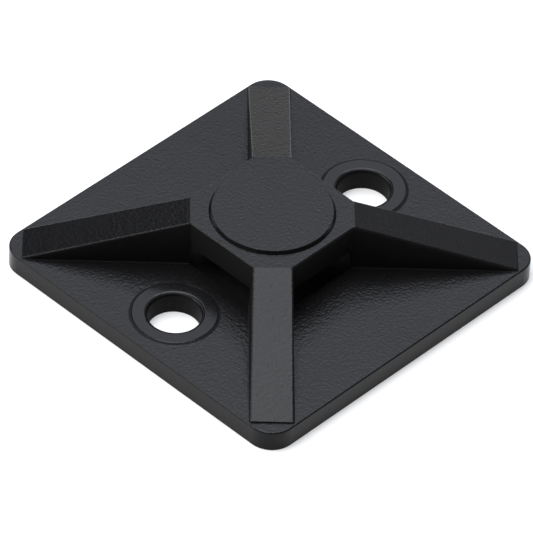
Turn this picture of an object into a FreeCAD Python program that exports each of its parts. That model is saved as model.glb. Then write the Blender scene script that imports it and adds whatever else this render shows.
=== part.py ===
import FreeCAD, Part
import math
import os
import Sketcher

# Cable tie mount: one moulded piece. A square plate carries four sloping ribs on its diagonals.
# They rise to an eight-sided hub, which bridges a passage for cable ties that is open on all four
# sides. Below the hub the plate is lower, and open in the middle. Two screw holes are on the X axis.
# Frame: the plate's sides lie along X and Y, its underside is Z = 0 and its centre is the origin.
# Lengths are in millimetres and angles in degrees.
SIZES = (
    ("plate_side", 28.0, "length of each side of the plate"),
    ("plate_thickness", 1.65, "plate, between its faces"),
    ("corner_radius", 1.9, "plate corners, seen from above"),
    ("rim_round", 0.12, "round along the plate's upper rim"),
    ("slot_height", 1.5, "free height for a tie, from the plate's top to the hub's underside"),
    ("hub_thickness", 2.3, "hub, from its underside to its top"),
    ("hub_across", 10.4, "hub, between opposite long sides"),
    ("rib_width", 2.9, "rib's top at the hub, and so each short side of the hub"),
    ("rib_draft", 2.0, "lean of the rib's side walls"),
    ("rib_step", 0.13, "height of a rib's lower end above the plate"),
    ("rib_margin", 0.18, "from a rib's lower end to the round along the plate's rim"),
    ("rib_overlap", 0.6, "how far a rib's level head runs into the hub"),
    ("rib_flat", 0.05, "how far a rib's level head goes on past the hub's corners"),
    ("edge_round", 0.15, "round along the edges of hub and ribs"),
    ("tip_round", 0.08, "round along the edges of a rib's lower end"),
    ("foot_round", 0.06, "round where a rib's side wall meets the plate"),
    ("core_clearance", 0.1, "recess in the plate beyond the hub's long sides"),
    ("core_floor", 0.65, "plate left below that recess"),
    ("core_opening", 6.0, "side of the square opening in the middle of that floor"),
    ("disc_diameter", 8.9, "raised disc on the hub, across its face"),
    ("disc_height", 0.28, "raised disc, above the hub"),
    ("disc_slope", 0.18, "width of the disc's sloping edge"),
    ("disc_round", 0.06, "round along the rim of the disc's face"),
    ("hole_spacing", 19.6, "between the centres of the screw holes"),
    ("hole_diameter", 3.9, "screw hole"),
    ("hole_round", 0.33, "round at the mouth of a screw hole"),
    ("pad_diameter", 6.15, "low pad round a screw hole, across its face"),
    ("pad_height", 0.1, "low pad, above the plate"),
    ("pad_slope", 0.25, "width of the pad's sloping edge"),
)
RIBS = 4
NEAR = 1e-4

doc = FreeCAD.newDocument("cable_tie_mount")
sheet = doc.addObject("Spreadsheet::Sheet", "sizes")
for row, (alias, value, note) in enumerate(SIZES, 1):
    sheet.set("A%d" % row, note)
    sheet.set("B%d" % row, str(value))
    sheet.setAlias("B%d" % row, alias)
doc.recompute()

# Heights and reaches that follow from the sizes, as expressions on the sheet.
HUB_FLOOR = "(sizes.plate_thickness + sizes.slot_height)"
HUB_TOP = "(%s + sizes.hub_thickness)" % HUB_FLOOR
RIB_ROOT = "((sizes.hub_across * sqrt(2) - sizes.rib_width) / 2)"
RIB_END = "((sizes.plate_side / 2 - sizes.rim_round) * sqrt(2) - sizes.rib_width / 2 - sizes.rib_margin)"
RIB_FOOT = "(sizes.plate_thickness / 2)"
HOLE_PLACE = "(sizes.hole_spacing / 2)"


def size(name):
    return float(sheet.get(name))


plate_top = size("plate_thickness")
hub_floor = plate_top + size("slot_height")
hub_top = hub_floor + size("hub_thickness")

body = doc.addObject("PartDesign::Body", "cable_tie_mount")
body.Label = "cable_tie_mount"


def origin_feature(role):
    return next(item for item in body.Origin.OriginFeatures if item.Role == role)


def bind(item, **expressions):
    for path, expression in expressions.items():
        item.setExpression(path.replace("__", "."), expression)


def add_sketch(name, plane):
    sketch = body.newObject("Sketcher::SketchObject", name)
    sketch.AttachmentSupport = [(origin_feature(plane), "")]
    sketch.MapMode = "FlatFace"
    return sketch


def add_ring_of_lines(sketch, points):
    """Draws a closed outline of straight lines and joins their ends."""
    count = len(points)
    for start, end in zip(points, points[1:] + points[:1]):
        sketch.addGeometry(Part.LineSegment(FreeCAD.Vector(*start, 0), FreeCAD.Vector(*end, 0)))
    for line in range(count):
        sketch.addConstraint(Sketcher.Constraint("Coincident", line, 2, (line + 1) % count, 1))


def constrain(sketch, name, expression, *terms):
    """Adds a measured constraint whose value is an expression on the sheet."""
    index = sketch.addConstraint(Sketcher.Constraint(*terms))
    sketch.renameConstraint(index, name)
    sketch.setExpression("Constraints." + name, expression)


def add_octagon(name, across, corner, height):
    """An eight-sided outline: long sides along X and Y, short sides across the diagonals."""
    sketch = add_sketch(name, "XY_Plane")
    sketch.setExpression("AttachmentOffset.Base.z", height)
    far = size("hub_across") / 2
    near = far - size("rib_width") / math.sqrt(2)
    points = [(far, -near), (far, near), (near, far), (-near, far),
              (-far, near), (-far, -near), (-near, -far), (near, -far)]
    add_ring_of_lines(sketch, points)
    for line in range(4):
        sketch.addConstraint(Sketcher.Constraint("Symmetric", line, 1, line + 4, 1, -1, 1))
    sketch.addConstraint(Sketcher.Constraint("Vertical", 0))
    sketch.addConstraint(Sketcher.Constraint("Horizontal", 2))
    sketch.addConstraint(Sketcher.Constraint("Equal", 1, 3))
    sketch.addConstraint(Sketcher.Constraint("Perpendicular", 1, 3))
    constrain(sketch, "across_x", across, "DistanceX", 4, 1, 0, 1, 2 * far)
    constrain(sketch, "across_y", across, "DistanceY", 6, 1, 2, 1, 2 * far)
    constrain(sketch, "corner", corner, "Distance", 1, size("rib_width"))
    sketch.addConstraint(Sketcher.Constraint("Angle", 1, math.radians(135)))
    return sketch


def add_square(name, side, value):
    """A level square about the centre, on the plane of the plate's underside."""
    sketch = add_sketch(name, "XY_Plane")
    half = value / 2
    add_ring_of_lines(sketch, [(half, -half), (half, half), (-half, half), (-half, -half)])
    for terms in (("Symmetric", 0, 1, 2, 1, -1, 1), ("Symmetric", 1, 1, 3, 1, -1, 1),
                  ("Vertical", 0), ("Horizontal", 1), ("Equal", 0, 1)):
        sketch.addConstraint(Sketcher.Constraint(*terms))
    constrain(sketch, "side", side, "DistanceY", 0, 1, 0, 2, value)
    return sketch


def add_diagonal_sketch(name, turn, reach, reach_value):
    """An upright sketch on the diagonal: across it at a reach from the centre, or along it."""
    sketch = add_sketch(name, "YZ_Plane")
    sketch.AttachmentOffset = FreeCAD.Placement(
        FreeCAD.Vector(reach_value / math.sqrt(2), 0, reach_value / math.sqrt(2)),
        FreeCAD.Rotation(FreeCAD.Vector(0, 1, 0), turn))
    sketch.setExpression("AttachmentOffset.Base.x", reach + " / sqrt(2)")
    sketch.setExpression("AttachmentOffset.Base.z", reach + " / sqrt(2)")
    return sketch


def add_fillet(name, base, radius, wanted):
    """Rounds the edges of the body so far for which wanted(edge) is true."""
    doc.recompute()
    names = ["Edge%d" % index for index, edge in enumerate(base.Shape.Edges, 1) if wanted(edge)]
    fillet = body.newObject("PartDesign::Fillet", name)
    fillet.Base = (base, names)
    fillet.setExpression("Radius", radius)
    doc.recompute()
    return fillet


def lies_level(edge, height):
    box = edge.BoundBox
    return abs(box.ZMin - height) < NEAR and abs(box.ZMax - height) < NEAR


def middle_of(edge):
    return edge.valueAt((edge.FirstParameter + edge.LastParameter) / 2)


def on_long_side(edge):
    """True for edges along the four long sides of the hub."""
    middle = middle_of(edge)
    return abs(max(abs(middle.x), abs(middle.y)) - size("hub_across") / 2) < NEAR


def beside_rib_top(edge):
    """True for edges that run along a rib, where its top meets a side wall."""
    middle = middle_of(edge)
    off_diagonal = abs(abs(middle.x) - abs(middle.y)) / math.sqrt(2)
    wall = size("rib_width") / 2 + (hub_top - middle.z) * math.tan(math.radians(size("rib_draft")))
    reach = (abs(middle.x) + abs(middle.y)) / math.sqrt(2)
    slope = hub_top - max(reach - root_value - size("rib_flat"), 0) * fall
    return abs(off_diagonal - wall) < NEAR and abs(middle.z - slope) < NEAR


def add_frustum(name, base_radius, top_radius, height, x, z):
    """A low round step whose edge slopes, standing at (x, 0, z)."""
    cone = body.newObject("PartDesign::AdditiveCone", name)
    cone.AttachmentSupport = [(origin_feature("XY_Plane"), "")]
    cone.MapMode = "FlatFace"
    bind(cone, Radius1=base_radius, Radius2=top_radius, Height=height,
         AttachmentOffset__Base__x=x, AttachmentOffset__Base__z=z)
    return cone


# Hub: an eight-sided slab above the tie passage. Its short sides end inside the ribs' level heads.
hub_outline = add_octagon("hub_outline", "sizes.hub_across", "sizes.rib_width - sizes.rib_flat",
                          HUB_FLOOR)
hub = body.newObject("PartDesign::Pad", "hub")
hub.Profile = hub_outline
hub.setExpression("Length", "sizes.hub_thickness")

# Ribs: a bar with leaning walls runs out from the hub along a diagonal, and its top is cut to a
# level head just past the hub's corner and a slope down to a low step.
root_value = (size("hub_across") * math.sqrt(2) - size("rib_width")) / 2
end_value = ((size("plate_side") / 2 - size("rim_round")) * math.sqrt(2)
             - size("rib_width") / 2 - size("rib_margin"))
head_value = root_value - size("rib_overlap")
flat_value = root_value + size("rib_flat")
step_top = plate_top + size("rib_step")
fall = (hub_top - step_top) / (end_value - flat_value)
rib_section = add_diagonal_sketch("rib_section", 45, "(%s - sizes.rib_overlap)" % RIB_ROOT, head_value)
foot = plate_top / 2
top_half = size("rib_width") / 2
foot_half = top_half + (hub_top - foot) * math.tan(math.radians(size("rib_draft")))
add_ring_of_lines(rib_section, [(-foot_half, foot), (foot_half, foot),
                                (top_half, hub_top), (-top_half, hub_top)])
for line in (0, 2):
    rib_section.addConstraint(Sketcher.Constraint("Symmetric", line, 1, line, 2, -2))
constrain(rib_section, "foot", RIB_FOOT, "DistanceY", -1, 1, 0, 1, foot)
constrain(rib_section, "height", HUB_TOP, "DistanceY", -1, 1, 2, 2, hub_top)
constrain(rib_section, "width", "sizes.rib_width", "DistanceX", 2, 2, 2, 1, 2 * top_half)
constrain(rib_section, "lean", "90 deg + sizes.rib_draft * 1 deg",
          "Angle", 1, math.pi / 2 + math.radians(size("rib_draft")))
rib = body.newObject("PartDesign::Pad", "rib")
rib.Profile = rib_section
rib.setExpression("Length", "%s - %s + sizes.rib_overlap" % (RIB_END, RIB_ROOT))
slope_outline = add_diagonal_sketch("slope_outline", -45, "0 mm", 0)
add_ring_of_lines(slope_outline, [(flat_value, hub_top), (end_value, step_top), (end_value, hub_top)])
for terms in (("Vertical", 1), ("Horizontal", 2)):
    slope_outline.addConstraint(Sketcher.Constraint(*terms))
constrain(slope_outline, "start", "%s + sizes.rib_flat" % RIB_ROOT, "DistanceX", -1, 1, 0, 1, flat_value)
constrain(slope_outline, "end", RIB_END, "DistanceX", -1, 1, 1, 1, end_value)
constrain(slope_outline, "top", HUB_TOP, "DistanceY", -1, 1, 0, 1, hub_top)
constrain(slope_outline, "step", "sizes.plate_thickness + sizes.rib_step",
          "DistanceY", -1, 1, 1, 1, step_top)
slope = body.newObject("PartDesign::Pocket", "slope")
slope.Profile = slope_outline
slope.Midplane = True
slope.setExpression("Length", "2 * sizes.rib_width")
doc.recompute()
ribs = body.newObject("PartDesign::PolarPattern", "ribs")
ribs.Originals = [rib, slope]
ribs.Axis = (origin_feature("Z_Axis"), [""])
ribs.Angle = 360
ribs.Occurrences = RIBS
body.Tip = ribs

# One small round runs along the hub's upper long edges and on down both sides of every rib. The
# ribs' lower ends have a finer one, and the hub's lower edges, the lips, have the first again.
upper_edges = add_fillet("upper_edges", ribs, "sizes.edge_round",
                         lambda edge: beside_rib_top(edge)
                         or (lies_level(edge, hub_top) and on_long_side(edge)))
rib_tips = add_fillet("rib_tips", upper_edges, "sizes.tip_round",
                      lambda edge: lies_level(edge, step_top))
hub_lips = add_fillet("hub_lips", rib_tips, "sizes.edge_round",
                      lambda edge: lies_level(edge, hub_floor) and on_long_side(edge))

# Plate: a square with rounded corners and a small round along its upper rim.
half = size("plate_side") / 2
plate = body.newObject("PartDesign::Pad", "plate")
plate.Profile = add_square("plate_outline", "sizes.plate_side", size("plate_side"))
plate.setExpression("Length", "sizes.plate_thickness")


def at_plate_corner(edge):
    box = edge.BoundBox
    return (box.XLength < NEAR and box.YLength < NEAR
            and abs(abs(box.XMin) - half) < NEAR and abs(abs(box.YMin) - half) < NEAR)


def on_plate_rim(edge):
    """True for the edges that follow the plate's outline at the level of its top."""
    middle = middle_of(edge)
    radius = size("corner_radius")
    past_x = max(abs(middle.x) - half + radius, 0)
    past_y = max(abs(middle.y) - half + radius, 0)
    return lies_level(edge, plate_top) and abs(math.hypot(past_x, past_y) - radius) < NEAR


def at_rib_foot(edge):
    """True for the long edges where a rib's side walls meet the plate."""
    long_enough = edge.Length > (end_value - root_value) / 2
    return lies_level(edge, plate_top) and long_enough and not on_plate_rim(edge)


plate_corners = add_fillet("plate_corners", plate, "sizes.corner_radius", at_plate_corner)
plate_rim = add_fillet("plate_rim", plate_corners, "sizes.rim_round", on_plate_rim)
rib_feet = add_fillet("rib_feet", plate_rim, "sizes.foot_round", at_rib_foot)

# Tie passage: a recess in the plate below the hub, up to the hub's underside and the ribs' roots,
# with a square opening in the middle of its floor.
core_outline = add_octagon("core_outline", "sizes.hub_across + 2 * sizes.core_clearance",
                           "sizes.rib_width + 2 * sqrt(2) * sizes.core_clearance", "sizes.core_floor")
core = body.newObject("PartDesign::Pocket", "core")
core.Profile = core_outline
core.Reversed = True
core.setExpression("Length", "%s - sizes.core_floor" % HUB_FLOOR)
doc.recompute()
core_opening = body.newObject("PartDesign::Pocket", "core_opening")
core_opening.Profile = add_square("opening_outline", "sizes.core_opening", size("core_opening"))
core_opening.Reversed = True
core_opening.setExpression("Length", "sizes.core_floor")

# Raised disc on the hub, with a sloping edge and a softened rim.
disc = add_frustum("disc", "sizes.disc_diameter / 2 + sizes.disc_slope", "sizes.disc_diameter / 2",
                   "sizes.disc_height", "0 mm", HUB_TOP)
disc_rim = add_fillet("disc_rim", disc, "sizes.disc_round",
                      lambda edge: lies_level(edge, hub_top + size("disc_height")))

# Screw holes: a low pad, a straight bore and a rounded mouth, the same on both sides.
pad = add_frustum("pad", "sizes.pad_diameter / 2 + sizes.pad_slope", "sizes.pad_diameter / 2",
                  "sizes.pad_height", HOLE_PLACE, "sizes.plate_thickness")
bore_outline = add_sketch("bore_outline", "XY_Plane")
bore_outline.addGeometry(Part.Circle(FreeCAD.Vector(size("hole_spacing") / 2, 0, 0),
                                     FreeCAD.Vector(0, 0, 1), size("hole_diameter") / 2))
bore_outline.addConstraint(Sketcher.Constraint("PointOnObject", 0, 3, -1))
constrain(bore_outline, "place", HOLE_PLACE, "DistanceX", -1, 1, 0, 3, size("hole_spacing") / 2)
constrain(bore_outline, "bore", "sizes.hole_diameter", "Diameter", 0, size("hole_diameter"))
bore = body.newObject("PartDesign::Pocket", "bore")
bore.Profile = bore_outline
bore.Reversed = True
bore.Type = "ThroughAll"
doc.recompute()
screw_holes = body.newObject("PartDesign::Mirrored", "screw_holes")
screw_holes.Originals = [pad, bore]
screw_holes.MirrorPlane = (origin_feature("YZ_Plane"), [""])
body.Tip = screw_holes


def at_hole_mouth(edge):
    curve = edge.Curve
    round_edge = isinstance(curve, Part.Circle) and abs(curve.Radius - size("hole_diameter") / 2) < NEAR
    return round_edge and lies_level(edge, plate_top + size("pad_height"))


hole_mouths = add_fillet("hole_mouths", screw_holes, "sizes.hole_round", at_hole_mouth)
body.Tip = hole_mouths
doc.recompute()

# Every feature has to hold, and the piece has to be one valid solid, before it is written.
for item in doc.Objects:
    if "Invalid" in item.State or "Error" in item.State:
        raise RuntimeError("%s did not build: %s" % (item.Label, item.State))
    if item.isDerivedFrom("Sketcher::SketchObject") and not item.FullyConstrained:
        raise RuntimeError("%s is not fully constrained" % item.Label)
for opening, before in ((core, rib_feet), (core_opening, core), (bore, pad)):
    if opening.Shape.Volume >= before.Shape.Volume:
        raise RuntimeError("%s took nothing away" % opening.Label)
shape = body.Shape
if shape.isNull() or not shape.isValid() or len(shape.Solids) != 1:
    raise RuntimeError("the mount is not one valid solid")

os.makedirs("parts", exist_ok=True)
shape.exportStep("parts/%s.step" % body.Label)
print("volume %.2f mm3, box %s" % (shape.Volume, shape.BoundBox))
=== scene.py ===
import math
import bpy
from mathutils import Matrix, Vector

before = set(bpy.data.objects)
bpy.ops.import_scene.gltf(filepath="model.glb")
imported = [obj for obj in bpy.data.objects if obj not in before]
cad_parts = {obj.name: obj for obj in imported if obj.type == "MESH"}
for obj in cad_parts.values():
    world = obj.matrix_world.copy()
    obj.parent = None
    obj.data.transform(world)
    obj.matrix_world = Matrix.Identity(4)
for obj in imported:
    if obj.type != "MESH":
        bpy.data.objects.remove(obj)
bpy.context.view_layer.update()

# Mount: one injection moulding in black nylon, used as it leaves the mould and held down by two screws.
# Level and sloping faces have a fine leathery grain. The pads, the plate's sides and the disc's edge are
# polished, the ribs' walls and the hub's lips are matte, and the bores and the tie passage are dull.
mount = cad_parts["cable_tie_mount"]
plastic = bpy.data.materials.new("black_moulded_plastic")
plastic.use_nodes = True
plastic.node_tree.nodes.clear()
nodes_in_row, node_width, node_height = 8, 220, 300


def plastic_node(kind, **inputs):
    """Adds a node to the plastic. Each input is a value, or an output of another node."""
    nodes = plastic.node_tree.nodes
    row, column = divmod(len(nodes), nodes_in_row)
    node = nodes.new(kind)
    node.location = (node_width * column, -node_height * row)
    for name, value in inputs.items():
        socket = node.inputs[name.replace("_", " ")]
        if isinstance(value, bpy.types.NodeSocket):
            plastic.node_tree.links.new(value, socket)
        else:
            socket.default_value = value
    return node


def plastic_math(operation, *terms):
    """Adds one sum to the plastic, of numbers and outputs of other nodes, and gives its result."""
    node = plastic_node("ShaderNodeMath")
    node.operation = operation
    for socket, term in zip(node.inputs, terms):
        if isinstance(term, bpy.types.NodeSocket):
            plastic.node_tree.links.new(term, socket)
        else:
            socket.default_value = term
    return node.outputs[0]


place = plastic_node("ShaderNodeTexCoord").outputs["Object"]
x, y, z = plastic_node("ShaderNodeSeparateXYZ", Vector=place).outputs
from_middle_x = plastic_math("ABSOLUTE", x)
from_middle_y = plastic_math("ABSOLUTE", y)

# Level and upright faces, told apart by how far a face's normal points up or down.
fairly_level = 0.6
true_normal = plastic_node("ShaderNodeNewGeometry").outputs["True Normal"]
upward_part = plastic_node("ShaderNodeSeparateXYZ", Vector=true_normal).outputs["Z"]
level_face = plastic_math("GREATER_THAN", plastic_math("ABSOLUTE", upward_part), fairly_level)
upright_face = plastic_math("SUBTRACT", 1.0, level_face)

# The bores and the pads, by how far a point lies from the axis of the nearer screw hole.
hole_x = 0.0098
bore_reach = 0.00198
pad_reach = 0.00309
aside = plastic_math("SUBTRACT", from_middle_x, hole_x)
squares = plastic_math("ADD", plastic_math("POWER", aside, 2), plastic_math("POWER", y, 2))
from_hole = plastic_math("SQRT", squares)
in_bore = plastic_math("LESS_THAN", from_hole, bore_reach)
on_pad = plastic_math("LESS_THAN", from_hole, pad_reach)

# The tie passage: below the hub, and within the eight-sided outline that it has in the plate.
passage_middle, passage_half_height = 0.0018, 0.00134
passage_half_side = 0.005302
passage_corner = 0.0084
widest = plastic_math("MAXIMUM", from_middle_x, from_middle_y)
both_ways = plastic_math("ADD", from_middle_x, from_middle_y)
within_sides = plastic_math("LESS_THAN", widest, passage_half_side)
within_corners = plastic_math("LESS_THAN", both_ways, passage_corner)
below_hub = plastic_math("COMPARE", z, passage_middle, passage_half_height)
in_passage = plastic_math("MULTIPLY", plastic_math("MULTIPLY", within_sides, within_corners), below_hub)

# The small hollow rounds at the ribs' feet, just above the plate's top and not level as it is.
foot_middle, foot_half_height = 0.001685, 0.000032
quite_level = 0.995
at_foot_height = plastic_math("COMPARE", z, foot_middle, foot_half_height)
at_foot = plastic_math("MULTIPLY", at_foot_height, plastic_math("LESS_THAN", upward_part, quite_level))

# The ribs' walls and the hub's lips: upright, above the plate's top and below the hub's.
flank_middle, flank_half_height = 0.00355, 0.00188
at_flank_height = plastic_math("COMPARE", z, flank_middle, flank_half_height)
flank = plastic_math("MULTIPLY", upright_face, at_flank_height)

# Grain: leathery bumps with finer pores, full on level faces, faint on upright ones and on the pads.
bump_depth = 0.000025
pore_depth = 0.000002
faint_grain, further_grain = 0.25, 0.75
grained = plastic_math("SUBTRACT", level_face, on_pad)
grain_strength = plastic_math("MULTIPLY_ADD", grained, further_grain, faint_grain)
bumps = plastic_node("ShaderNodeTexNoise", Vector=place, Scale=4700.0, Detail=0.6, Roughness=0.5)
pores = plastic_node("ShaderNodeTexNoise", Vector=place, Scale=13000.0, Detail=1.0, Roughness=0.5)
leather = plastic_node("ShaderNodeBump", Strength=grain_strength, Height=bumps.outputs["Fac"],
                       Distance=bump_depth)
grain = plastic_node("ShaderNodeBump", Strength=grain_strength, Height=pores.outputs["Fac"],
                     Normal=leather.outputs["Normal"], Distance=pore_depth)

# Finish: slow waves and a fine mottle in how rough the plastic is, and what each kind of face adds.
smoothest, roughest = 0.25, 0.33
mottle_depth = 0.06
polished, matte, dull = -0.1, 0.36, 0.5
waves = plastic_node("ShaderNodeTexNoise", Vector=place, Scale=260.0, Detail=2.0, Roughness=0.5)
mottle = plastic_node("ShaderNodeTexNoise", Vector=place, Scale=3300.0, Detail=1.0, Roughness=0.5)
waved = plastic_node("ShaderNodeMapRange", Value=waves.outputs["Fac"], To_Min=smoothest, To_Max=roughest)
mottling = plastic_math("MULTIPLY_ADD", mottle.outputs["Fac"], 2 * mottle_depth, -mottle_depth)
roughness = plastic_math("ADD", waved.outputs["Result"], mottling)
polished_face = plastic_math("MAXIMUM", upright_face, on_pad)
dull_face = plastic_math("MAXIMUM", plastic_math("MAXIMUM", in_bore, in_passage), at_foot)
for face, change in ((polished_face, polished), (flank, matte), (dull_face, dull)):
    roughness = plastic_math("MULTIPLY_ADD", face, change, roughness)

surface = plastic_node("ShaderNodeBsdfPrincipled", Normal=grain.outputs["Normal"], Roughness=roughness,
                       Base_Color=(0.003, 0.003, 0.0032, 1), IOR=1.5, Specular_IOR_Level=0.15)
plastic_node("ShaderNodeOutputMaterial", Surface=surface.outputs["BSDF"])
mount.data.materials.clear()
mount.data.materials.append(plastic)

# Floor: a plain studio table, a sheet of frosted white plastic lit a little from below as well, so that
# it shows as white all round the mount. It lies a hair below the mount's underside.
table_side = 4
table_gap = 0.00002
bpy.ops.mesh.primitive_plane_add(size=table_side, location=(0, 0, -table_gap))
floor = bpy.context.object
floor.name = "studio_floor"
white = bpy.data.materials.new("white_table")
white.use_nodes = True
sheet = white.node_tree.nodes["Principled BSDF"].inputs
sheet["Base Color"].default_value = (0.54, 0.54, 0.54, 1)
sheet["Roughness"].default_value = 0.9
sheet["Specular IOR Level"].default_value = 0.0
sheet["Emission Color"].default_value = (1, 1, 1, 1)
sheet["Emission Strength"].default_value = 0.25
floor.data.materials.append(white)

# Camera: a long lens from above the near corner, with a slight tilt. The lens's length and the shift of
# the picture's middle are in pixels of a picture 533 wide, and colours are shown as they are.
scene = bpy.context.scene
scene.view_settings.view_transform = "Standard"
azimuth, elevation, roll = (math.radians(angle) for angle in (-47.402, 42.724, 3.061))
distance = 0.42506
picture_width = 533
lens_length = 5825.3
shift_right, shift_down = 2.98, 0.694
sensor_width = 36
nearest_seen = 0.01
back = Vector((math.sin(azimuth) * math.cos(elevation), -math.cos(azimuth) * math.cos(elevation),
               math.sin(elevation)))
level = Vector((math.cos(azimuth), math.sin(azimuth), 0))
upward = back.cross(level)
right = math.cos(roll) * level + math.sin(roll) * upward
up = math.cos(roll) * upward - math.sin(roll) * level
stand = back * distance + (up * shift_down - right * shift_right) * distance / lens_length
camera = bpy.data.objects.new("camera", bpy.data.cameras.new("camera"))
scene.collection.objects.link(camera)
camera.data.sensor_width = sensor_width
camera.data.lens = lens_length * sensor_width / picture_width
camera.data.clip_start = nearest_seen
camera.matrix_world = Matrix((right, up, back)).transposed().to_4x4()
camera.matrix_world.translation = stand
scene.camera = camera

# Lights: soft boxes round the table, with a very weak even light between them. Each box stands at an
# angle to the right of the far side, as the camera sees it, and at a height above the table, and faces
# the mount.
even_light = 0.06
world = bpy.data.worlds.new("studio")
world.use_nodes = True
world.node_tree.nodes["Background"].inputs["Color"].default_value = (1, 1, 1, 1)
world.node_tree.nodes["Background"].inputs["Strength"].default_value = even_light
scene.world = world
ahead = Vector((-back.x, -back.y, 0)).normalized()
box_distance = 0.8
boxes = (
    # name, angle to the right, height, width and depth in degrees, radiance, colour
    ("zenith", 0, 86, 30, 26, 6.6, (0.98, 1.0, 1.05)),
    ("far_high", 0, 63, 34, 20, 7.2, (0.97, 1.0, 1.09)),
    ("far", 0, 43, 34, 20, 2.6, (0.97, 1.0, 1.13)),
    ("far_low", 0, 9, 44, 14, 0.8, (1.0, 1.0, 1.0)),
    ("far_right", 45, 34, 34, 26, 0.95, (0.98, 1.0, 1.06)),
    ("left_high", -90, 62, 30, 26, 1.6, (0.98, 1.0, 1.05)),
    ("left", -90, 34, 40, 26, 8.3, (1.0, 1.0, 1.02)),
    ("right", 90, 34, 40, 26, 0.4, (1.0, 1.0, 1.02)),
    ("near_left_high", -138, 68, 30, 30, 6.5, (1.0, 1.0, 1.0)),
    ("near_left", -135, 34, 40, 26, 0.4, (1.0, 1.0, 1.0)),
)
for name, angle, height, width, depth, radiance, colour in boxes:
    turn, rise = math.radians(angle), math.radians(height)
    outward = ahead * math.cos(turn) + level * math.sin(turn)
    towards_box = outward * math.cos(rise) + Vector((0, 0, math.sin(rise)))
    lamp = bpy.data.lights.new(name, "AREA")
    lamp.shape = "RECTANGLE"
    lamp.size = 2 * box_distance * math.tan(math.radians(width / 2))
    lamp.size_y = 2 * box_distance * math.tan(math.radians(depth / 2))
    lamp.energy = radiance * math.pi * lamp.size * lamp.size_y
    lamp.color = colour
    box = bpy.data.objects.new(name, lamp)
    scene.collection.objects.link(box)
    box.location = towards_box * box_distance
    box.rotation_euler = towards_box.to_track_quat("Z", "Y").to_euler()
